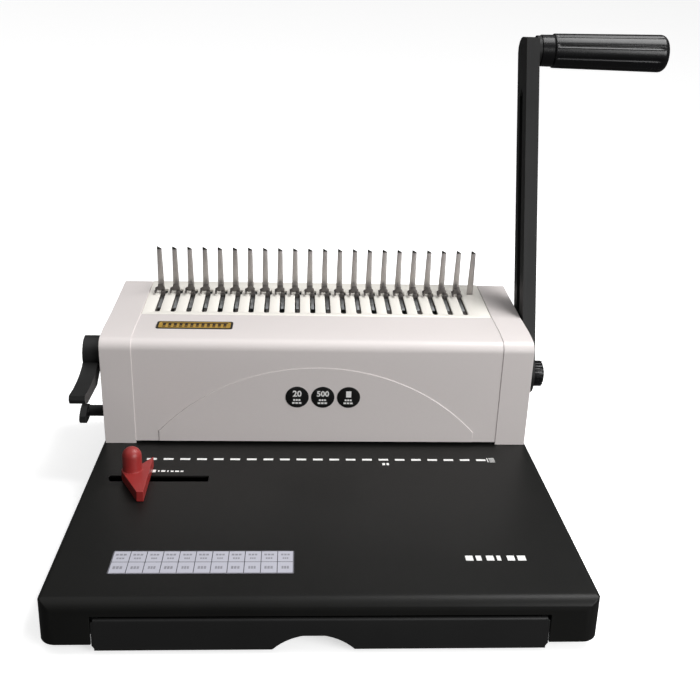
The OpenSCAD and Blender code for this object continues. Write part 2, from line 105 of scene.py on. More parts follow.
class BinderSizes(bpy.types.PropertyGroup):
    sheet_edge: length("Sheet edge", "Rounding of folded sheet edges", 0.5)
    mould_edge: length("Moulded edge", "Rounding of moulded edges", 1.2)
    dash_length: length("Dash length", "Length of a hole mark", 8.4)
    dash_width: length("Dash width", "Width of a hole mark", 3.2)
    groove_depth: length("Groove depth", "Depth of the grip's grooves", 0.9)
    grooves: IntProperty(name="Grooves", description="Grooves round the grip", min=3, default=9)
    knob_ribs: IntProperty(name="Knob ribs", description="Ribs round the clamp knob", min=6,
                           default=20)


class BinderStage(bpy.types.PropertyGroup):
    key_watts: FloatProperty(name="Key light", description="Softbox above and to the right",
                             subtype="POWER", unit="POWER", default=18.0)
    fill_watts: FloatProperty(name="Fill light", description="Softbox in front",
                              subtype="POWER", unit="POWER", default=30.0)
    sky: FloatProperty(name="Ceiling", description="Brightness straight above", default=0.85)
    wall: FloatProperty(name="Walls", description="Brightness at the sides", default=0.1)
    horizon: FloatProperty(name="Horizon", description="Where the ceiling's light starts",
                           default=0.45)
    lens: FloatProperty(name="Lens", description="Focal length", unit="CAMERA", default=50.72)
    key_place: FloatVectorProperty(name="Key place", description="Where the key light hangs",
                                   subtype="TRANSLATION", unit="LENGTH", size=3,
                                   default=(0.75, 0.1, 1.45))
    fill_place: FloatVectorProperty(name="Fill place", description="Where the fill stands",
                                    subtype="TRANSLATION", unit="LENGTH", size=3,
                                    default=(1.35, -1.5, 0.75))


# ---- materials --------------------------------------------------------------
def add(tree, kind, sockets=(), **settings):
    """One node of a kind with its settings; each input gets a value or a link."""
    node = tree.nodes.new(kind)
    for key, value in settings.items():
        setattr(node, key, value)
    for key, value in dict(sockets).items():
        if isinstance(value, bpy.types.NodeSocket):
            tree.links.new(value, node.inputs[key])
        else:
            node.inputs[key].default_value = value
    return node


def shade(colour_, factor):
    """A darker or lighter version of a linear colour, with alpha."""
    return tuple(min(1.0, c * factor) for c in colour_) + (1.0,)


def surface(name, base, grain, relief, rough, contrast=0.1, patch=60.0, stretch=(1, 1, 1),
            turn=(0, 0, 0), texture="ShaderNodeTexNoise", wear=0.0, tip=None, **shader):
    """A finish on Object coordinates. grain is the size of its fine texture in mm and relief
    its depth in mm, patch the size in mm of broad changes in tone and gloss, rough the
    lowest and highest roughness, and contrast how far the tone moves."""
    made = bpy.data.materials.new(name)
    made.use_nodes = True
    tree = made.node_tree
    tree.nodes.clear()
    where = add(tree, "ShaderNodeTexCoord")
    place = add(tree, "ShaderNodeMapping", {"Vector": where.outputs["Object"],
                                            "Scale": stretch, "Rotation": turn})
    fine = add(tree, texture, {"Vector": place.outputs[0], "Scale": 1 / (grain * MM)})
    height = fine.outputs.get("Fac") or fine.outputs[0]
    broad = add(tree, "ShaderNodeTexNoise", {"Vector": where.outputs["Object"],
                                             "Scale": 1 / (patch * MM), "Detail": 3.0})
    both = add(tree, "ShaderNodeMath", {0: height, 1: broad.outputs["Fac"]}, operation="ADD")
    spread = add(tree, "ShaderNodeMapRange", {"Value": both.outputs[0], "From Min": 0.6,
                                              "From Max": 1.4})
    tone = add(tree, "ShaderNodeMix", {0: spread.outputs[0], 6: shade(base, 1 - contrast),
                                       7: shade(base, 1 + contrast)}, data_type="RGBA")
    paint = tone.outputs[2]
    if wear:
        shape = add(tree, "ShaderNodeNewGeometry")
        edge = add(tree, "ShaderNodeMapRange", {"Value": shape.outputs["Pointiness"],
                                                "From Min": 0.505, "From Max": 0.56,
                                                "To Max": wear})
        rubbed = add(tree, "ShaderNodeMath", {0: edge.outputs[0], 1: broad.outputs["Fac"]},
                     operation="MULTIPLY")
        paint = add(tree, "ShaderNodeMix", {0: rubbed.outputs[0], 6: paint,
                                            7: shade(base, 3.5)}, data_type="RGBA").outputs[2]
    if tip:
        colour_, axis, start, end = tip
        along = add(tree, "ShaderNodeVectorMath", {0: where.outputs["Object"], 1: axis},
                    operation="DOT_PRODUCT")
        mask = add(tree, "ShaderNodeMapRange", {"Value": along.outputs["Value"],
                                                "From Min": start, "From Max": end})
        paint = add(tree, "ShaderNodeMix", {0: mask.outputs[0], 6: paint,
                                            7: colour_ + (1.0,)}, data_type="RGBA").outputs[2]
    gloss = add(tree, "ShaderNodeMapRange", {"Value": both.outputs[0], "From Min": 0.6,
                                             "From Max": 1.4, "To Min": rough[0],
                                             "To Max": rough[1]})
    bump = add(tree, "ShaderNodeBump", {"Height": height, "Strength": 1.0,
                                        "Distance": relief * MM})
    sockets = {"Base Color": paint, "Roughness": gloss.outputs[0],
               "Normal": bump.outputs[0]}
    sockets.update({key.replace("_", " "): value for key, value in shader.items()})
    skin = add(tree, "ShaderNodeBsdfPrincipled", sockets)
    add(tree, "ShaderNodeOutputMaterial", {"Surface": skin.outputs[0]})
    return made


def finishes(colours):
    """Every material of the machine, by the record's slot."""
    tip_axis = (0.0, -math.sin(POST_LEAN), math.cos(POST_LEAN))
    foot = Vector(tip_axis).dot((0, 165 * MM, 149.2 * MM))
    steel, dark = rgb("#B4AFAC"), rgb("#2A2928")
    return {
        # powder-coated steel: a pebbled semi-gloss black; the 0.5 mm orange peel is drawn
        # at 0.9 mm so that it shows
        "base_black": surface("Powder coated steel, black", tuple(colours.base), 0.9, 0.035,
                              (0.36, 0.46), 0.12, 90, wear=0.3, Specular_IOR_Level=0.2),
        # baked enamel on sheet steel: smooth and bright, with a faint long wave in the gloss
        "casing_white": surface("Baked enamel, warm white", tuple(colours.casing), 2.5, 0.006,
                                (0.32, 0.4), 0.012, 120, Coat_Weight=0.15,
                                Coat_Roughness=0.25),
        # injection moulded ABS: fine spark-eroded texture, softer highlight than enamel
        "cover_grey": surface("Moulded ABS, warm white", tuple(colours.covers), 1.0, 0.01,
                              (0.36, 0.46), 0.015, 80, IOR=1.53),
        # baked enamel on the deck plate: cream, smooth
        "deck_cream": surface("Baked enamel, cream", tuple(colours.deck), 2.0, 0.005,
                              (0.3, 0.38), 0.012, 90, Coat_Weight=0.1, Coat_Roughness=0.3),
        # zinc plated sheet: pale grey with spangle 8 mm across
        "zinc_steel": surface("Zinc plated sheet", rgb("#B4B7B9"), 8.0, 0.01, (0.34, 0.5),
                              0.12, 50, texture="ShaderNodeTexVoronoi", Metallic=1.0),
        # ground tool steel: straight grinding lines along the length, 0.4 mm apart
        "tool_steel": surface("Ground tool steel", rgb("#9C9FA3"), 0.8, 0.006, (0.25, 0.4),
                              0.15, 40, stretch=(0.05, 1, 1), Metallic=1.0),
        # stamped and brushed strip: lines along the post, darker over the sloping tip
        "post_steel": surface("Brushed strip steel", steel, 0.5, 0.008, (0.34, 0.5), 0.16, 18,
                              stretch=(1, 1, 0.04), Metallic=0.75,
                              tip=(dark, tip_axis, foot + 41.8 * MM, foot + 43.2 * MM)),
        # stamped strip with an oiled dark finish
        "hook_steel": surface("Oiled strip steel", rgb("#6F6B69"), 0.7, 0.012, (0.3, 0.5),
                              0.3, 9, Metallic=0.8),
        # turned bright steel: mirror-like with faint turning lines
        "bright_steel": surface("Turned bright steel", rgb("#D2D4D6"), 0.35, 0.003,
                                (0.16, 0.28), 0.06, 20, stretch=(1, 0.05, 0.05), Metallic=1.0),
        # turned brass gears and bushes
        "brass": surface("Turned brass", rgb("#C9A35A"), 0.4, 0.004, (0.24, 0.38), 0.1, 15,
                         stretch=(0.1, 1, 1), Metallic=1.0),
        # moulded ABS, black, satin: the chip tray
        "tray_black": surface("Moulded ABS, satin black", rgb("#191919"), 0.9, 0.02,
                              (0.4, 0.5), 0.1, 70, IOR=1.53),
        # moulded nylon, black: the levers
        "lever_black": surface("Moulded nylon, black", tuple(colours.levers), 0.8, 0.02,
                               (0.38, 0.5), 0.12, 40, wear=0.25, IOR=1.53),
        # satin paint over a casting: slight waviness of 3 mm
        "arm_black": surface("Satin paint on casting", tuple(colours.handle), 1.6, 0.03,
                             (0.4, 0.5), 0.08, 50, wear=0.25, Specular_IOR_Level=0.22),
        # polished polypropylene: sharp streaks of light along the grooves
        "grip_black": surface("Polished plastic, black", rgb("#131314"), 1.5, 0.008,
                              (0.2, 0.3), 0.12, 30, Specular_IOR_Level=0.3),
        # moulded rubber: dull, dusty
        "foot_rubber": surface("Moulded rubber, black", rgb("#1D1D1D"), 0.7, 0.04,
                               (0.75, 0.9), 0.2, 12, Specular_IOR_Level=0.3),
        # moulded ABS, red, with the gloss rubbed by fingers
        "guide_red": surface("Moulded ABS, red", tuple(colours.guide), 0.9, 0.015,
                             (0.34, 0.48), 0.07, 14, IOR=1.53),
        # coated paper under a matt film
        "label_paper": surface("Coated label paper", rgb("#BCBCC7"), 1.2, 0.003, (0.42, 0.5),
                               0.02, 30),
        # screen ink: thin, flat, slightly uneven at the edges of the mesh
        "mark_white": surface("White screen ink", tuple(colours.print_white), 0.6, 0.004,
                              (0.45, 0.55), 0.04, 10),
        # anodised foil, gold: brushed lines along the plate
        "plate_gold": surface("Anodised foil, gold", tuple(colours.plate), 0.35, 0.003,
                              (0.28, 0.4), 0.14, 25, stretch=(0.06, 1, 1), Metallic=0.6),
        # printed vinyl disc under a gloss film
        "badge_black": surface("Printed vinyl, black", rgb("#161616"), 0.8, 0.004,
                               (0.25, 0.35), 0.12, 12, Coat_Weight=0.3, Coat_Roughness=0.1),
        # dark line between the label's cells, and the plate's border
        "ink_dark": surface("Dark screen ink", rgb("#2B2B33"), 0.5, 0.003, (0.4, 0.5), 0.15,
                            8),
        "ink_brown": surface("Brown screen ink", rgb("#2E1D10"), 0.5, 0.003, (0.4, 0.5), 0.15,
                             8),
        "ink_grey": surface("Grey screen ink", rgb("#8C8C94"), 0.5, 0.003, (0.4, 0.5), 0.15,
                            8),
    }


# ---- mesh helpers -----------------------------------------------------------
def object_of(name, mesh):
    made = bpy.data.objects.new(name, mesh)
    bpy.context.scene.collection.objects.link(made)
    return made


def smooth(mesh, angle=35.0):
    """Smooth shading with sharp edges kept."""
    mesh.shade_smooth()
    mesh.set_sharp_from_angle(angle=math.radians(angle))
    return mesh


def baked(made):
    """The mesh of an object with its modifiers applied; the object is removed."""
    graph = bpy.context.evaluated_depsgraph_get()
    mesh = bpy.data.meshes.new_from_object(made.evaluated_get(graph), depsgraph=graph)
    bpy.data.objects.remove(made)
    return mesh


def bevelled(mesh, rounding, steps=2, angle=30.0, where=None):
    """A mesh whose edges sharper than angle are rounded, all or those whose middle is
    where() says, in mm."""
    made = object_of("rounding", smooth(mesh, angle))
    edge = made.modifiers.new("Rounding", "BEVEL")
    edge.width = rounding
    edge.segments = steps
    edge.limit_method = "ANGLE"
    edge.angle_limit = math.radians(angle)
    if where:
        edge.limit_method = "WEIGHT"
        weight = mesh.attributes.new("bevel_weight_edge", "FLOAT", "EDGE")
        sharp = mesh.attributes["sharp_edge"].data
        for line in mesh.edges:
            middle = sum((mesh.vertices[v].co for v in line.vertices), Vector()) / 2 / MM
            weight.data[line.index].value = float(sharp[line.index].value and where(middle))
    edge.harden_normals = True
    edge.miter_outer = "MITER_ARC"
    return baked(made)


def merged(node):
    """A copy of a CAD node's mesh with its triangles joined into flat faces."""
    mesh = NODES[node].data.copy()
    mesh.materials.clear()
    work = bmesh.new()
    work.from_mesh(mesh)
    bmesh.ops.remove_doubles(work, verts=work.verts, dist=0.003 * MM)
    bmesh.ops.dissolve_limit(work, angle_limit=math.radians(0.4), verts=work.verts,
                             edges=work.edges)
    work.to_mesh(mesh)
    work.free()
    for layer in ("custom_normal", "UVMap"):
        if layer in mesh.attributes:
            mesh.attributes.remove(mesh.attributes[layer])
    return mesh


def prism(outline, low, high, rounding=0.0, place=Matrix()):
    """A closed prism over an outline in mm, from low to high mm, put in place."""
    work = bmesh.new()
    floor = [work.verts.new((x * MM, y * MM, low * MM)) for x, y in outline]
    face = work.faces.new(floor)
    lid = bmesh.ops.extrude_face_region(work, geom=[face])
    top = [v for v in lid["geom"] if isinstance(v, bmesh.types.BMVert)]
    bmesh.ops.translate(work, verts=top, vec=(0, 0, (high - low) * MM))
    if rounding:
        bmesh.ops.bevel(work, geom=work.edges[:], offset=rounding * MM, segments=2,
                        affect="EDGES", profile=0.5, clamp_overlap=True)
    bmesh.ops.recalc_face_normals(work, faces=work.faces)
    bmesh.ops.transform(work, matrix=place, verts=work.verts)
    mesh = bpy.data.meshes.new("prism")
    work.to_mesh(mesh)
    work.free()
    return mesh


def plate(loops, low, high, rounding=0.0, place=Matrix()):
    """A closed flat plate: the first loop is its outline in mm, the others are holes."""
    curve = bpy.data.curves.new("plate", "CURVE")
    curve.dimensions = "2D"
    curve.fill_mode = "BOTH"
    curve.extrude = ((high - low) / 2 - rounding) * MM
    curve.bevel_depth = rounding * MM
    curve.bevel_resolution = 1
    curve.offset = -rounding * MM
    for loop in loops:
        line = curve.splines.new("POLY")
        line.points.add(len(loop) - 1)
        for point, (x, y) in zip(line.points, loop):
            point.co = (x * MM, y * MM, 0, 1)
        line.use_cyclic_u = True
    mesh = baked(object_of("plate", curve))
    work = bmesh.new()
    work.from_mesh(mesh)
    bmesh.ops.remove_doubles(work, verts=work.verts, dist=0.002 * MM)
    bmesh.ops.recalc_face_normals(work, faces=work.faces)
    bmesh.ops.transform(work, verts=work.verts, matrix=place
                        @ Matrix.Translation((0, 0, (low + high) / 2 * MM)))
    work.to_mesh(mesh)
    work.free()
    return mesh


def lathe(profile, steps=32, place=Matrix()):
    """A closed turned shape: profile is (radius, height) in mm from axis to axis."""
    work = bmesh.new()
    rings = []
    for radius, height in profile:
        count = steps if radius > 1e-6 else 1
        rings.append([work.verts.new((radius * MM * math.cos(k * math.tau / count),
                                      radius * MM * math.sin(k * math.tau / count),
                                      height * MM)) for k in range(count)])
    for low, high in zip(rings, rings[1:]):
        for k in range(steps):
            corners = [low[k % len(low)], low[(k + 1) % len(low)],
                       high[(k + 1) % len(high)], high[k % len(high)]]
            corners = list(dict.fromkeys(corners))
            if len(corners) > 2:
                work.faces.new(corners)
    bmesh.ops.recalc_face_normals(work, faces=work.faces)
    bmesh.ops.transform(work, matrix=place, verts=work.verts)
    mesh = bpy.data.meshes.new("lathe")
    work.to_mesh(mesh)
    work.free()
    return mesh


def joined(meshes):
    """One mesh out of several; each keeps its own material numbers."""
    work = bmesh.new()
    for mesh in meshes:
        work.from_mesh(mesh)
    total = bpy.data.meshes.new("joined")
    work.to_mesh(total)
    work.free()
    return total


def box_outline(x0, y0, x1, y1):
    return [(x0, y0), (x1, y0), (x1, y1), (x0, y1)]


def round_outline(x0, y0, x1, y1, radius, steps=6):
    """A rectangle with round corners, in mm."""
    points = []
    for cx, cy, start in ((x1 - radius, y1 - radius, 0), (x0 + radius, y1 - radius, 90),
                          (x0 + radius, y0 + radius, 180), (x1 - radius, y0 + radius, 270)):
        for k in range(steps + 1):
            turn = math.radians(start + 90 * k / steps)
            points.append((cx + radius * math.cos(turn), cy + radius * math.sin(turn)))
    return points


def figures(text, height, place, thickness=0.12, weight=0.04):
    """Numbers as a solid mesh, centred on place, height in mm."""
    curve = bpy.data.curves.new("figures", "FONT")
    curve.body = text
    curve.align_x = "CENTER"
    curve.align_y = "CENTER"
    curve.size = height * MM * 1.4
    curve.offset = weight * height * MM
    curve.extrude = thickness * MM / 2
    curve.resolution_u = 3
    mesh = baked(object_of("figures", curve))
    work = bmesh.new()
    work.from_mesh(mesh)
    bmesh.ops.remove_doubles(work, verts=work.verts, dist=0.001 * MM)
    work.to_mesh(mesh)
    work.free()
    mesh.transform(place)
    return mesh


def piece(name, mesh, material, body, slot, *replaced):
    """A finished piece: its material, the body it rides on and the CAD it stands for."""
    mesh.materials.clear()
    mesh.materials.append(MATERIALS[material])
    for part in mesh.polygons:
        part.material_index = 0
    mesh.name = name
    made = object_of(name, mesh)
    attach(made, body)
    if replaced:
        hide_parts(*replaced)
    return made


def rounded(node, rounding, steps=2, angle=30.0, where=None):
    """A CAD node shown by a copy of itself with rounded edges."""
    mesh = bevelled(merged(node), rounding, steps, angle, where)
    return piece(node + "_finished", mesh, SLOTS[node], BODIES[node], SLOTS[node], node)


MATERIALS = {}


# ---- geometry trees ---------------------------------------------------------
def new_tree(name, sockets):
    """A geometry tree with named inputs: (name, socket kind, default)."""
    tree = bpy.data.node_groups.new(name, "GeometryNodeTree")
    tree.interface.new_socket("Geometry", in_out="OUTPUT", socket_type="NodeSocketGeometry")
    for label, kind, value in sockets:
        socket = tree.interface.new_socket(label, in_out="INPUT",
                                           socket_type="NodeSocket" + kind)
        if value is not None:
            socket.default_value = value
    return tree, add(tree, "NodeGroupInput").outputs


def close_tree(tree, geometry, material):
    """Ends a tree in Realize Instances and Set Material."""
    real = add(tree, "GeometryNodeRealizeInstances", {0: geometry})
    done = add(tree, "GeometryNodeSetMaterial", {"Geometry": real.outputs[0],
                                                 "Material": material})
    add(tree, "NodeGroupOutput", {0: done.outputs[0]})
    return tree


def line_tree():
    """Copies of one piece in an even row."""
    tree, given = new_tree("Even row", (("Piece", "Object", None), ("Count", "Int", 2),
                                        ("Start", "Vector", (0, 0, 0)),
                                        ("Step", "Vector", (0.01, 0, 0)),
                                        ("Material", "Material", None)))
    source = add(tree, "GeometryNodeObjectInfo", {"Object": given["Piece"]})
    row = add(tree, "GeometryNodeMeshLine", {"Count": given["Count"],
                                             "Start Location": given["Start"],
                                             "Offset": given["Step"]}, mode="OFFSET")
    spread = add(tree, "GeometryNodeInstanceOnPoints", {
        "Points": row.outputs[0], "Instance": source.outputs["Geometry"]})
    return close_tree(tree, spread.outputs[0], given["Material"])


def corner_tree():
    """Copies of one piece on the crossings of a flat grid."""
    tree, given = new_tree("Grid of pieces", (("Piece", "Object", None),
                                              ("Width", "Float", 0.1), ("Depth", "Float", 0.1),
                                              ("Across", "Int", 2), ("Along", "Int", 2),
                                              ("Centre", "Vector", (0, 0, 0)),
                                              ("Material", "Material", None)))
    source = add(tree, "GeometryNodeObjectInfo", {"Object": given["Piece"]})
    grid = add(tree, "GeometryNodeMeshGrid", {"Size X": given["Width"],
                                              "Size Y": given["Depth"],
                                              "Vertices X": given["Across"],
                                              "Vertices Y": given["Along"]})
    moved = add(tree, "GeometryNodeTransform", {"Geometry": grid.outputs[0],
                                                "Translation": given["Centre"]})
    spread = add(tree, "GeometryNodeInstanceOnPoints", {
        "Points": moved.outputs[0], "Instance": source.outputs["Geometry"]})
    return close_tree(tree, spread.outputs[0], given["Material"])


def ring_tree():
    """Copies of one piece round an axis along X, each turned to face outwards."""
    tree, given = new_tree("Ring of ribs", (("Piece", "Object", None), ("Count", "Int", 12),
                                            ("Radius", "Float", 0.01),
                                            ("Centre", "Vector", (0, 0, 0)),
                                            ("Material", "Material", None)))
    source = add(tree, "GeometryNodeObjectInfo", {"Object": given["Piece"]})
    index = add(tree, "GeometryNodeInputIndex")
    share = add(tree, "ShaderNodeMath", {0: index.outputs[0], 1: given["Count"]},
                operation="DIVIDE")
    angle = add(tree, "ShaderNodeMath", {0: share.outputs[0], 1: math.tau},
                operation="MULTIPLY")
    level = add(tree, "ShaderNodeMath", {0: angle.outputs[0]}, operation="COSINE")
    rise = add(tree, "ShaderNodeMath", {0: angle.outputs[0]}, operation="SINE")
    spoke = add(tree, "ShaderNodeCombineXYZ", {"Y": level.outputs[0], "Z": rise.outputs[0]})
    reach = add(tree, "ShaderNodeVectorMath", {0: spoke.outputs[0], "Scale": given["Radius"]},
                operation="SCALE")
    spot = add(tree, "ShaderNodeVectorMath", {0: reach.outputs[0], 1: given["Centre"]},
               operation="ADD")
    turn = add(tree, "ShaderNodeCombineXYZ", {"X": angle.outputs[0]})
    points = add(tree, "GeometryNodePoints", {"Count": given["Count"],
                                              "Position": spot.outputs[0]})
    spread = add(tree, "GeometryNodeInstanceOnPoints", {
        "Points": points.outputs[0], "Instance": source.outputs["Geometry"],
        "Rotation": turn.outputs[0]})
    return close_tree(tree, spread.outputs[0], given["Material"])


def grip_tree():
    """A round grip along X: its radius grows evenly, its end is round, and grooves run
    along it that fade out at both ends."""
    tree, given = new_tree("Grooved grip", (
        ("Length", "Float", 0.1), ("Start Radius", "Float", 0.014),
        ("End Radius", "Float", 0.0167), ("End Rounding", "Float", 0.006),
        ("Grooves", "Int", 9), ("Groove Depth", "Float", 0.001),
        ("Collar", "Float", 0.008), ("Collar Step", "Float", 0.0009),
        ("Material", "Material", None)))
    start = add(tree, "ShaderNodeCombineXYZ")
    end = add(tree, "ShaderNodeCombineXYZ", {"X": given["Length"]})
    axis = add(tree, "GeometryNodeCurvePrimitiveLine", {"Start": start.outputs[0],
                                                        "End": end.outputs[0]})
    fine = add(tree, "GeometryNodeResampleCurve", {"Curve": axis.outputs[0], "Count": 260})
    ring = add(tree, "GeometryNodeCurvePrimitiveCircle", {"Resolution": 144, "Radius": 1.0})
    share = add(tree, "GeometryNodeSplineParameter").outputs["Factor"]
    taper = add(tree, "ShaderNodeMapRange", {"Value": share, "To Min": given["Start Radius"],
                                             "To Max": given["End Radius"]})
    run = add(tree, "ShaderNodeMath", {0: share, 1: given["Length"]}, operation="MULTIPLY")
    left = add(tree, "ShaderNodeMath", {0: given["Length"], 1: run.outputs[0]},
               operation="SUBTRACT")
    into = add(tree, "ShaderNodeMath", {0: left.outputs[0], 1: given["End Rounding"]},
               operation="DIVIDE")
    gap = add(tree, "ShaderNodeMath", {0: 1.0, 1: into.outputs[0]}, operation="SUBTRACT",
              use_clamp=True)
    square = add(tree, "ShaderNodeMath", {0: gap.outputs[0], 1: 2.0}, operation="POWER")
    rest = add(tree, "ShaderNodeMath", {0: 1.0, 1: square.outputs[0]}, operation="SUBTRACT",
               use_clamp=True)
    arc = add(tree, "ShaderNodeMath", {0: rest.outputs[0]}, operation="SQRT")
    lost = add(tree, "ShaderNodeMath", {0: 1.0, 1: arc.outputs[0]}, operation="SUBTRACT")
    drop = add(tree, "ShaderNodeMath", {0: lost.outputs[0], 1: given["End Rounding"]},
               operation="MULTIPLY")
    neck = add(tree, "ShaderNodeMapRange", {"Value": run.outputs[0],
                                            "From Min": given["Collar"],
                                            "From Max": add(tree, "ShaderNodeMath", {
                                                0: given["Collar"], 1: 0.0012},
                                                operation="ADD").outputs[0],
                                            "To Min": given["Collar Step"], "To Max": 0.0},
               interpolation_type="SMOOTHSTEP")
    thin = add(tree, "ShaderNodeMath", {0: taper.outputs[0], 1: drop.outputs[0]},
               operation="SUBTRACT")
    width = add(tree, "ShaderNodeMath", {0: thin.outputs[0], 1: neck.outputs[0]},
                operation="SUBTRACT")
    sized = add(tree, "GeometryNodeSetCurveRadius", {"Curve": fine.outputs[0],
                                                     "Radius": width.outputs[0]})
    tube = add(tree, "GeometryNodeCurveToMesh", {"Curve": sized.outputs[0],
                                                 "Profile Curve": ring.outputs[0],
                                                 "Fill Caps": True})
    scale = tube.inputs.get("Scale")
    if scale is not None:
        tree.links.new(width.outputs[0], scale)
    spot = add(tree, "ShaderNodeSeparateXYZ", {0: add(tree, "GeometryNodeInputPosition"
                                                      ).outputs[0]})
    angle = add(tree, "ShaderNodeMath", {0: spot.outputs["Z"], 1: spot.outputs["Y"]},
                operation="ARCTAN2")
    turns = add(tree, "ShaderNodeMath", {0: angle.outputs[0], 1: given["Grooves"]},
                operation="MULTIPLY")
    wave = add(tree, "ShaderNodeMath", {0: turns.outputs[0]}, operation="COSINE")
    cut = add(tree, "ShaderNodeMapRange", {"Value": wave.outputs[0], "From Min": 0.55,
                                           "From Max": 1.0, "To Max": 1.0},
              interpolation_type="SMOOTHSTEP")
    fade_in = add(tree, "ShaderNodeMapRange", {
        "Value": spot.outputs["X"], "From Min": given["Collar"],
        "From Max": add(tree, "ShaderNodeMath", {0: given["Collar"], 1: 0.005},
                        operation="ADD").outputs[0]}, interpolation_type="SMOOTHSTEP")
    fade_out = add(tree, "ShaderNodeMapRange", {
        "Value": add(tree, "ShaderNodeMath", {0: given["Length"], 1: spot.outputs["X"]},
                     operation="SUBTRACT").outputs[0],
        "From Min": 0.002, "From Max": 0.012}, interpolation_type="SMOOTHSTEP")
    both = add(tree, "ShaderNodeMath", {0: fade_in.outputs[0], 1: fade_out.outputs[0]},
               operation="MULTIPLY")
    much = add(tree, "ShaderNodeMath", {0: both.outputs[0], 1: cut.outputs[0]},
               operation="MULTIPLY")
    depth = add(tree, "ShaderNodeMath", {0: much.outputs[0], 1: given["Groove Depth"]},
                operation="MULTIPLY")
    flat = add(tree, "ShaderNodeCombineXYZ", {"Y": spot.outputs["Y"], "Z": spot.outputs["Z"]})
    out = add(tree, "ShaderNodeVectorMath", {0: flat.outputs[0]}, operation="NORMALIZE")
    back = add(tree, "ShaderNodeMath", {0: depth.outputs[0], 1: -1.0}, operation="MULTIPLY")
    shift = add(tree, "ShaderNodeVectorMath", {0: out.outputs[0], "Scale": back.outputs[0]},
                operation="SCALE")
    carved = add(tree, "GeometryNodeSetPosition", {"Geometry": tube.outputs[0],
                                                   "Offset": shift.outputs[0]})
    return close_tree(tree, carved.outputs[0], given["Material"])


def grown(tree, prototype=None, **values):
    """The plain mesh that a geometry tree makes; a prototype mesh is its Piece."""
    host = object_of("host", bpy.data.meshes.new("host"))
    growth = host.modifiers.new("Growth", "NODES")
    growth.node_group = tree
    keys = {item.name: item.identifier for item in tree.interface.items_tree
            if item.item_type == "SOCKET" and item.in_out == "INPUT"}
    source = None
    if prototype is not None:
        source = object_of("prototype", prototype)
        growth[keys["Piece"]] = source
    for label, value in values.items():
        growth[keys[label.replace("_", " ")]] = value
    mesh = baked(host)
    if source is not None:
        bpy.data.objects.remove(source)
    return mesh


# ---- stage ------------------------------------------------------------------
class BINDER_OT_stage(bpy.types.Operator):
    """Camera, pale floor that curves up all round, and soft studio lights"""
    bl_idname = "comb_binder.stage"
    bl_label = "Stage"

    def execute(self, context):
        scene, stage = context.scene, context.scene.binder_stage
        eye = bpy.data.objects.new("camera", bpy.data.cameras.new("camera"))
        scene.collection.objects.link(eye)
        eye.data.lens = stage.lens
        eye.data.sensor_width = 36.0
        eye.data.clip_start = 0.01
        eye.matrix_world = Matrix((
            (0.99842744, -0.00989128, -0.05517973, -0.02032),
            (-0.04850104, 0.34118896, -0.93874264, -0.75864),
            (0.02811208, 0.93994269, 0.34017268, 0.42398),
            (0, 0, 0, 1)))
        scene.camera = eye
        scene.view_settings.view_transform = "Standard"
        world = bpy.data.worlds.new("studio")
        scene.world = world
        world.use_nodes = True
        tree = world.node_tree
        tree.nodes.clear()
        # a dim room with a bright ceiling: black parts stay black seen from the side
        way = add(tree, "ShaderNodeSeparateXYZ", {
            0: add(tree, "ShaderNodeTexCoord").outputs["Generated"]})
        glow = add(tree, "ShaderNodeMapRange", {"Value": way.outputs["Z"],
                                                "From Min": stage.horizon, "From Max": 1.0,
                                                "To Min": stage.wall, "To Max": stage.sky},
                   interpolation_type="SMOOTHSTEP")
        sky = add(tree, "ShaderNodeBackground", {"Strength": glow.outputs[0]})
        add(tree, "ShaderNodeOutputWorld", {"Surface": sky.outputs[0]})
        self.light(scene, "key", stage.key_place, stage.key_watts, 0.9, 0.7)
        self.light(scene, "fill", stage.fill_place, stage.fill_watts, 1.2, 0.8)
        rim = [(0, 0), (2600, 0)] + [(2600 + 900 * math.sin(math.radians(a)),
                                      900 - 900 * math.cos(math.radians(a)))
                                     for a in range(6, 91, 6)] + [(3500, 3200)]
        bowl = bpy.data.meshes.new("floor")
        work = bmesh.new()
        rings = [[work.verts.new((r * MM * math.cos(k * math.tau / 96),
                                  r * MM * math.sin(k * math.tau / 96), z * MM))
                  for k in range(96)] if r else [work.verts.new((0, 0, 0))] for r, z in rim]
        for k in range(96):
            work.faces.new([rings[0][0], rings[1][k], rings[1][(k + 1) % 96]])
        for low, high in zip(rings[1:], rings[2:]):
            for k in range(96):
                work.faces.new([low[k], high[k], high[(k + 1) % 96], low[(k + 1) % 96]])
        work.to_mesh(bowl)
        work.free()
        floor = object_of("floor", smooth(bowl, 60))
        paper = surface("Paper sweep, white", rgb("#F7F7F7"), 3.0, 0.0, (0.9, 0.95), 0.005,
                        300, Specular_IOR_Level=0.0, Emission_Color=(1, 1, 1, 1),
                        Emission_Strength=0.62)
        floor.data.materials.append(paper)
        # the sweep is only a backdrop: the room lights the machine, not the paper
        floor.visible_diffuse = False
        floor.visible_glossy = False
        return {"FINISHED"}

    @staticmethod
    def light(scene, name, place, watts, width, height):
        lamp = bpy.data.lights.new(name, "AREA")
        lamp.shape = "RECTANGLE"
        lamp.size, lamp.size_y, lamp.energy = width, height, watts
        made = bpy.data.objects.new(name, lamp)
        scene.collection.objects.link(made)
        aim = Vector((0, 0.05, 0.08)) - Vector(place)
        made.matrix_world = (Matrix.Translation(place)
                             @ aim.to_track_quat("-Z", "Y").to_matrix().to_4x4())


# ---- pieces -----------------------------------------------------------------
class BINDER_OT_base(bpy.types.Operator):
    """Base cover with rounded edges"""
    bl_idname = "comb_binder.base"
    bl_label = "Base cover"

    def execute(self, context):
        rounded("base_shell", 0.6 * MM)
        return {"FINISHED"}


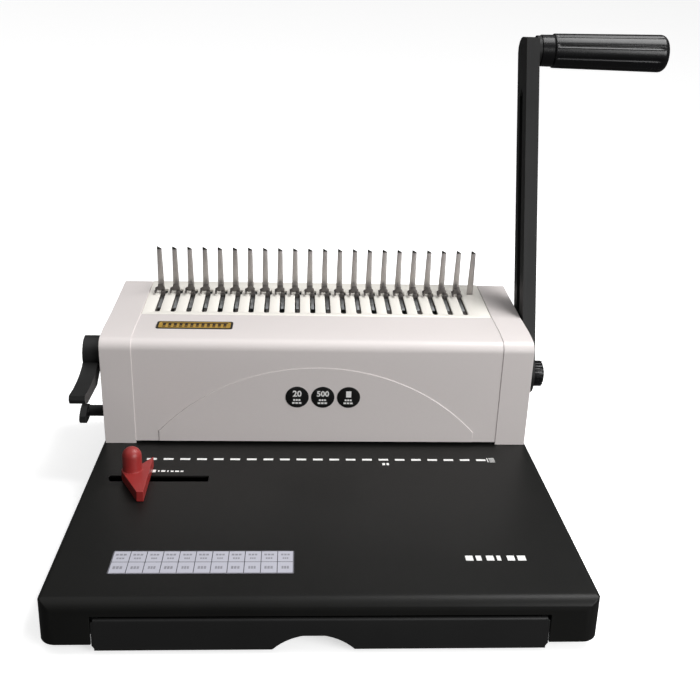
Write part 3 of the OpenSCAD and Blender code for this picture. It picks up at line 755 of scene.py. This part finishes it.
class BINDER_OT_tray(bpy.types.Operator):
    """Chip tray with its front lip and finger notch"""
    bl_idname = "comb_binder.tray"
    bl_label = "Chip tray"

    def execute(self, context):
        rounded("chip_tray", 0.8 * MM)
        # the lip's ends, slanted at the foot, close the gap beside the tray's front
        stand = Matrix.Rotation(math.pi / 2, 4, "X")
        ends = [prism([(side * 153, 27), (side * 155.1, 25.5), (side * 155.1, 7.5),
                       (side * 152.6, 3.9), (side * 151.5, 3.9), (side * 151.5, 27)],
                      193.3, 196.9, 0.2, stand) for side in (-1, 1)]
        piece("chip_tray_ends", joined(ends), "tray_black", "tray", "tray_black")
        return {"FINISHED"}


class BINDER_OT_marks(bpy.types.Operator):
    """Hole marks, size label and small printed signs on the base"""
    bl_idname = "comb_binder.marks"
    bl_label = "Printed marks"

    def execute(self, context):
        sizes = context.scene.binder_sizes
        half_l, half_w = sizes.dash_length / MM / 2, sizes.dash_width / MM / 2
        dash = prism(box_outline(-half_l, 15 - half_w, half_l, 15 + half_w), BASE_TOP,
                     BASE_TOP + INK)
        plain = grown(line_tree(), dash, Count=HOLES, Start=(-10 * PITCH * MM, 0, 0),
                      Step=(PITCH * MM, 0, 0), Material=MATERIALS["mark_white"])
        bars = [plain]
        for x0, y0, x1, y1 in (
                (-139, -10, -136.4, -5.4), (-134.6, -9.2, -133.4, -6.4),
                (-132, -9.2, -128.6, -6.4), (-127, -9.2, -125.8, -6.4),
                (-124, -9.2, -121.6, -7), (-120.4, -9.2, -117, -7), (-115.8, -9.2, -113.4, -7),
                (55.6, 4.6, 58, 8.6), (59.2, 4.6, 61.4, 8.6),
                (148.4, 11.2, 149.2, 19), (150.2, 11.2, 155, 12), (150.2, 13.5, 155, 14.3),
                (150.2, 15.8, 155, 16.6), (150.2, 18.2, 155, 19)):
            bars.append(prism(box_outline(x0, y0, x1, y1), BASE_TOP, BASE_TOP + INK))
        for k, wide in enumerate((5.5, 4, 5.5, 3, 5.5, 6)):
            x = 104 + k * 7.6
            bars.append(prism(box_outline(x, -147.5, x + wide, -141), BASE_TOP, BASE_TOP + INK))
        piece("hole_marks_print", joined(bars), "mark_white", "frame", "mark_white",
              "hole_marks")
        self.label()
        return {"FINISHED"}

    @staticmethod
    def label():
        left, right, front, rear = -149.0, -20.0, -163.4, -134.0
        paper = prism(round_outline(left, front, right, rear, 0.8, 3), BASE_TOP,
                      BASE_TOP + 0.16)
        piece("size_label_paper", paper, "label_paper", "frame", "label_paper", "size_label")
        middle = (front + rear) / 2
        columns = [left + 12.4 + k * (right - left - 12.4) / 10 for k in range(11)]
        lines = [(left + 0.3, y - 0.25, right - 0.3, y + 0.25)
                 for y in (front + 0.4, middle, rear - 0.4)]
        lines += [(x - 0.25, front + 0.3, x + 0.25, rear - 0.3)
                  for x in [left + 0.4] + columns[:-1] + [right - 0.4]]
        grid = joined([prism(box_outline(*line), BASE_TOP + 0.1, BASE_TOP + 0.19)
                       for line in lines])
        piece("size_label_lines", grid, "ink_dark", "frame", "label_paper")
        ticks = []
        for k, x in enumerate([left] + columns[:-1]):
            wide = 12.4 if k == 0 else columns[1] - columns[0]
            centre = x + wide / 2
            for row, y in enumerate((middle + 9.6, middle + 4.8, middle - 7.2)):
                half = (3.4, 2.2, 2.8)[row] + (0.8 if k == 0 else 0.4 * (k % 2))
                tall = (1.1, 1.0, 1.7)[row]
                for part in range(3):
                    x0 = centre - half + part * half * 2 / 3
                    ticks.append(prism(box_outline(x0, y - tall, x0 + half * 0.5, y + tall),
                                       BASE_TOP + 0.1, BASE_TOP + 0.18))
        piece("size_label_figures", joined(ticks), "ink_grey", "frame", "label_paper")


class BINDER_OT_casing(bpy.types.Operator):
    """Middle cover with its raised arch, rear panel and side covers"""
    bl_idname = "comb_binder.casing"
    bl_label = "Casing and covers"

    def execute(self, context):
        edge = context.scene.binder_sizes.sheet_edge
        # the middle sheet's own ends stay sharp under the side covers; its arch is rounded
        rounded("casing", 0.75 * MM, 2, 30, lambda at: abs(at.x) < 150)
        rounded("rear_panel", edge, 2, 30, lambda at: abs(at.x) < 150)
        rounded("left_side_cover", edge)
        rounded("right_side_cover", edge)
        return {"FINISHED"}


class BINDER_OT_badges(bpy.types.Operator):
    """Gold plate and three round capacity discs"""
    bl_idname = "comb_binder.badges"
    bl_label = "Plate and discs"

    def execute(self, context):
        tilt = Matrix.Rotation(math.radians(90) + FRONT_LEAN, 4, "X")
        discs, prints = [], []
        for x in (-18.5, 4.1, 26.8):
            place = Matrix.Translation((x * MM, 43.93 * MM, 89 * MM)) @ tilt
            discs.append(lathe([(0, 0.8), (10.1, 0.8), (10.25, 0.9), (10.1, 1.15), (9.9, 1.2),
                                (0, 1.2)], 64, place))
            over = place @ Matrix.Translation((0, 0, 1.22 * MM))
            if x < 0:
                prints.append(figures("20", 5.6, over @ Matrix.Translation((0, 3.2 * MM, 0))))
            elif x < 10:
                prints.append(figures("500", 5.2, over @ Matrix.Translation((0, 3.2 * MM, 0))))
            else:
                page = Matrix.Translation((0, 3.2 * MM, 0))
                prints.append(prism(box_outline(-2.3, -3, 2.3, 3), -0.06, 0.06, 0,
                                    over @ page))
            for y, half in ((-2.6, 3.4), (-5.6, 4.4)):
                for part in range(3):
                    x0 = -half + part * half * 2 / 3
                    prints.append(prism(box_outline(x0, y - 0.8, x0 + half * 0.52, y + 0.8),
                                        -0.06, 0.06, 0, over))
        piece("badge_discs", smooth(joined(discs)), "badge_black", "frame", "badge_black",
              "feature_badges")
        piece("badge_print", joined(prints), "mark_white", "frame", "mark_white")
        flat = (Matrix.Translation((-143 * MM, 66.2 * MM, 143.25 * MM))
                @ Matrix.Rotation(math.radians(1.95), 4, "X"))
        rim = prism(round_outline(0, 0, 67, 18, 2.6), 0.0, 0.45, 0, flat)
        gold = prism(round_outline(1.9, 1.9, 65.1, 16.1, 1.9), 0.3, 0.55, 0, flat)
        piece("plate_rim", rim, "badge_black", "frame", "plate_gold", "name_plate")
        piece("plate_face", gold, "plate_gold", "frame", "plate_gold")
        # a comb drawn on the plate: a spine with teeth, and a hole under each tooth
        teeth = [prism(box_outline(4.4, 12.0, 62.6, 14.2), 0.5, 0.6, 0, flat)]
        for k in range(12):
            x = 5.4 + k * 4.85
            teeth.append(prism(box_outline(x, 6.6, x + 2.6, 12.1), 0.5, 0.6, 0, flat))
            teeth.append(prism(box_outline(x, 3.6, x + 2.6, 5.4), 0.5, 0.6, 0, flat))
        piece("plate_pattern", joined(teeth), "ink_brown", "frame", "plate_gold")
        return {"FINISHED"}


class BINDER_OT_deck(bpy.types.Operator):
    """Cream comb deck with its row of slots"""
    bl_idname = "comb_binder.deck"
    bl_label = "Comb deck"

    def execute(self, context):
        low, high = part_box("comb_deck")
        loops = [box_outline(low.x / MM, 41.6, high.x / MM, 127.8)]
        for k in range(HOLES):
            x = (k - HOLES / 2) * PITCH + 2.5
            front = [(x + 2.4 * math.cos(math.radians(a)), 50.4 + 2.4 * math.sin(math.radians(a)))
                     for a in range(180, 361, 20)]
            # the slot widens beside the post, where a hook's root passes
            loops.append(front + [(x + 2.4, 94), (x + 3.9, 94), (x + 3.9, 105), (x + 0.9, 105),
                                  (x + 0.9, 98), (x - 2.4, 98)])
        for k in range(HOLES + 1):
            x = (k - HOLES / 2) * PITCH
            loops.append(box_outline(x - 3.1, 101.3, x + 3.1, 104.3))
        deck = plate(loops, DECK_TOP - 2, DECK_TOP, 0.3, DECK)
        piece("comb_deck_plate", smooth(deck), "deck_cream", "frame", "deck_cream",
              "comb_deck")
        return {"FINISHED"}


class BINDER_OT_posts(bpy.types.Operator):
    """Row of flat comb posts, and the row of opening hooks with their strips"""
    bl_idname = "comb_binder.posts"
    bl_label = "Posts and hooks"

    def execute(self, context):
        stand = (Matrix.Translation((0, 165 * MM, 149.2 * MM))
                 @ Matrix.Rotation(POST_LEAN, 4, "X") @ Matrix.Rotation(math.pi / 2, 4, "X"))
        post = prism([(-2.9, -14), (2.9, -14), (2.9, 6), (2.1, 42.9), (-2.1, 45.3),
                      (-2.9, 6)], -0.75, 0.75, 0.3, stand)
        row = line_tree()
        step, start = (PITCH * MM, 0, 0), (-HOLES / 2 * PITCH * MM, 0, 0)
        posts = grown(row, post, Count=HOLES + 1, Start=start, Step=step,
                      Material=MATERIALS["post_steel"])
        piece("comb_post_row", smooth(posts), "post_steel", "frame", "post_steel",
              "comb_posts")
        upright = DECK @ Matrix.Translation((0, 96.8 * MM, 0)) @ Matrix.Rotation(
            math.pi / 2, 4, "X")
        head = prism([(-5.0, 22.6), (-5.1, 24.6), (-3.4, 25.6), (-2.4, 26.2), (-2.2, 28.6),
                      (2.6, 29), (2.9, 26.6), (4.2, 25.2), (4.3, 20.9), (0.7, 20.9),
                      (0.7, 22.8), (-2, 22.6)], 0.0, 1.8, 0.2, upright)
        stem = prism(box_outline(0.7, 93, 4.3, 98), 16.8, 22.0, 0.1, DECK)
        prong = prism(box_outline(-5, 89, -3.2, 95.1), 21.6, 23.6, 0.2, DECK)
        shoe = prism(box_outline(0.7, 91.5, 4.3, 95.1), 21.0, 22.6, 0.2, DECK)
        hooks = grown(row, joined([head, stem, prong, shoe]), Count=HOLES, Start=start,
                      Step=step, Material=MATERIALS["hook_steel"])
        piece("comb_hook_row", smooth(hooks), "hook_steel", "carriage", "hook_steel",
              "comb_hooks")
        strip = prism(box_outline(1.1, 63.5, 3.9, 93.4), 16.85, 17.5, 0.12, DECK)
        strips = grown(row, strip, Count=HOLES, Start=start, Step=step,
                       Material=MATERIALS["post_steel"])
        piece("comb_hook_strips", smooth(strips), "zinc_steel", "carriage", "zinc_steel")
        return {"FINISHED"}


class BINDER_OT_handle(bpy.types.Operator):
    """Handle arm, grooved grip and ribbed clamp knob"""
    bl_idname = "comb_binder.handle"
    bl_label = "Handle"

    def execute(self, context):
        sizes = context.scene.binder_sizes
        rounded("handle_arm", 0.9 * MM, 3)
        rounded("grip_spindle", 0.5 * MM)
        low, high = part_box("handle_grip")
        middle = (low + high) / 2
        grip = grown(grip_tree(), Length=high.x - low.x, Start_Radius=15.4 * MM,
                     End_Radius=17.15 * MM, End_Rounding=7.0 * MM, Grooves=sizes.grooves,
                     Groove_Depth=sizes.groove_depth, Collar=11.0 * MM, Collar_Step=1.1 * MM,
                     Material=MATERIALS["grip_black"])
        grip.transform(Matrix.Translation((low.x, middle.y, middle.z)))
        piece("grip_grooved", smooth(grip, 50), "grip_black", "grip", "grip_black",
              "handle_grip")
        low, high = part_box("clamp_knob")
        middle = (low + high) / 2
        lie = (Matrix.Translation((0, middle.y, middle.z))
               @ Matrix.Rotation(math.pi / 2, 4, "Y"))
        core = lathe([(0, 190.6), (2.95, 190.6), (2.95, 201.65), (10.4, 201.65), (11.0, 202.3),
                      (11.0, 210.2), (9.9, 212.0), (8.6, 212.5), (6.6, 212.5), (6.0, 211.8),
                      (0, 211.8)], 48, lie)
        rib = prism(round_outline(202.0, -0.85, 211.4, 0.85, 0.7, 3), 9.2, 12.1, 0.35)
        # the prism stands on Z; a rib points along +Y before the ring turns it
        rib.transform(Matrix.Rotation(-math.pi / 2, 4, "X"))
        ribs = grown(ring_tree(), rib, Count=sizes.knob_ribs, Radius=0.0,
                     Centre=(0.0, middle.y, middle.z), Material=MATERIALS["grip_black"])
        piece("clamp_knob_ribbed", smooth(joined([core, ribs])), "grip_black", "knob",
              "grip_black", "clamp_knob")
        return {"FINISHED"}


class BINDER_OT_levers(bpy.types.Operator):
    """Opener lever and margin selector on the left"""
    bl_idname = "comb_binder.levers"
    bl_label = "Levers"

    def execute(self, context):
        edge = context.scene.binder_sizes.mould_edge
        rounded("opener_lever", edge, 3)
        rounded("margin_selector", edge * 0.7, 3)
        return {"FINISHED"}


class BINDER_OT_guide(bpy.types.Operator):
    """Red paper guide with its round knob"""
    bl_idname = "comb_binder.guide"
    bl_label = "Paper guide"

    def execute(self, context):
        rounded("edge_guide", 0.9 * MM, 3)
        return {"FINISHED"}


class BINDER_OT_screws(bpy.types.Operator):
    """Rubber feet and screws"""
    bl_idname = "comb_binder.screws"
    bl_label = "Feet and screws"

    def execute(self, context):
        grid, row = corner_tree(), line_tree()
        foot = lathe([(0, 4.0), (4.6, 4.0), (4.6, 0.4), (5.2, 0), (8.4, 0), (9.2, 0.9),
                      (10.5, 8.4), (10.3, 9.0), (0, 9.0)], 40)
        feet = grown(grid, foot, Width=FOOT_SPACING[0], Depth=FOOT_SPACING[1], Across=2, Along=2,
                     Centre=(0.0, 0.0, 0.0), Material=MATERIALS["foot_rubber"])
        piece("foot_set", smooth(feet), "foot_rubber", "frame", "foot_rubber", "rubber_feet")
        below = self.screw(4.2, 1.8, 2.0, 10.0)
        below.transform(Matrix.Translation((0, 0, 4.0 * MM)))
        under = grown(grid, below, Width=FOOT_SPACING[0], Depth=FOOT_SPACING[1], Across=2,
                      Along=2, Centre=(0.0, 0.0, 0.0), Material=MATERIALS["bright_steel"])
        piece("foot_screw_set", smooth(under), "bright_steel", "frame", "bright_steel",
              "foot_screws")
        rear = self.screw(3.5, 1.5, 1.5, 1.0)
        rear.transform(Matrix.Translation((0, 192 * MM, 60 * MM))
                       @ Matrix.Rotation(math.pi / 2, 4, "X"))
        heads = joined([grown(row, rear, Count=2, Start=(x * MM, 0, 0),
                              Step=(90 * MM, 0, 0), Material=MATERIALS["bright_steel"])
                        for x in (-150, 60)])
        piece("cover_screw_set", smooth(heads), "bright_steel", "frame", "bright_steel",
              "cover_screws")
        return {"FINISHED"}

    @staticmethod
    def screw(radius, height, shank, length_):
        """A pan head on -Z with a raised cross, and its shank on +Z."""
        head = lathe([(0, -height), (radius * 0.55, -height), (radius * 0.9, -height * 0.7),
                      (radius, -height * 0.3), (radius, 0), (shank, 0), (shank, length_),
                      (0, length_)], 32)
        cross = [prism(box_outline(-radius * a, -radius * b, radius * a, radius * b),
                       -height - 0.05, -height + 0.1) for a, b in ((0.5, 0.12), (0.12, 0.5))]
        return joined([head] + cross)


class BINDER_OT_works(bpy.types.Operator):
    """Inner works: every carried-over CAD piece gets its own finish"""
    bl_idname = "comb_binder.works"
    bl_label = "Inner works"

    def execute(self, context):
        for node, shown in NODES.items():
            shown.data.materials.clear()
            shown.data.materials.append(MATERIALS[SLOTS[node]])
        return {"FINISHED"}


class BINDER_PT_panel(bpy.types.Panel):
    """Buttons and settings of the comb binding machine"""
    bl_idname = "BINDER_PT_panel"
    bl_label = "Comb binding machine"
    bl_space_type = "VIEW_3D"
    bl_region_type = "UI"
    bl_category = "Comb binder"

    def draw(self, context):
        column = self.layout.column(align=True)
        for operator in OPERATORS:
            column.operator(operator.bl_idname)
        for group in ("binder_sizes", "binder_colours", "binder_stage"):
            settings = getattr(context.scene, group)
            column = self.layout.column(align=True)
            for key in settings.bl_rna.properties.keys():
                if key not in ("rna_type", "name"):
                    column.prop(settings, key)


OPERATORS = (BINDER_OT_stage, BINDER_OT_base, BINDER_OT_tray, BINDER_OT_marks,
             BINDER_OT_casing, BINDER_OT_badges, BINDER_OT_deck, BINDER_OT_posts,
             BINDER_OT_handle, BINDER_OT_levers, BINDER_OT_guide, BINDER_OT_screws,
             BINDER_OT_works)
GROUPS = (("binder_sizes", BinderSizes), ("binder_colours", BinderColours),
          ("binder_stage", BinderStage))


def register():
    for name, group in GROUPS:
        bpy.utils.register_class(group)
        setattr(bpy.types.Scene, name, PointerProperty(type=group))
    for cls in OPERATORS + (BINDER_PT_panel,):
        bpy.utils.register_class(cls)


def unregister():
    for cls in reversed(OPERATORS + (BINDER_PT_panel,)):
        bpy.utils.unregister_class(cls)
    for name, group in reversed(GROUPS):
        delattr(bpy.types.Scene, name)
        bpy.utils.unregister_class(group)


def main():
    """Builds everything in order."""
    register()
    MATERIALS.update(finishes(bpy.context.scene.binder_colours))
    for operator in OPERATORS:
        group, name = operator.bl_idname.split(".")
        if getattr(getattr(bpy.ops, group), name)() != {"FINISHED"}:
            raise RuntimeError(operator.bl_label + " did not finish")


if __name__ == "__main__":
    main()
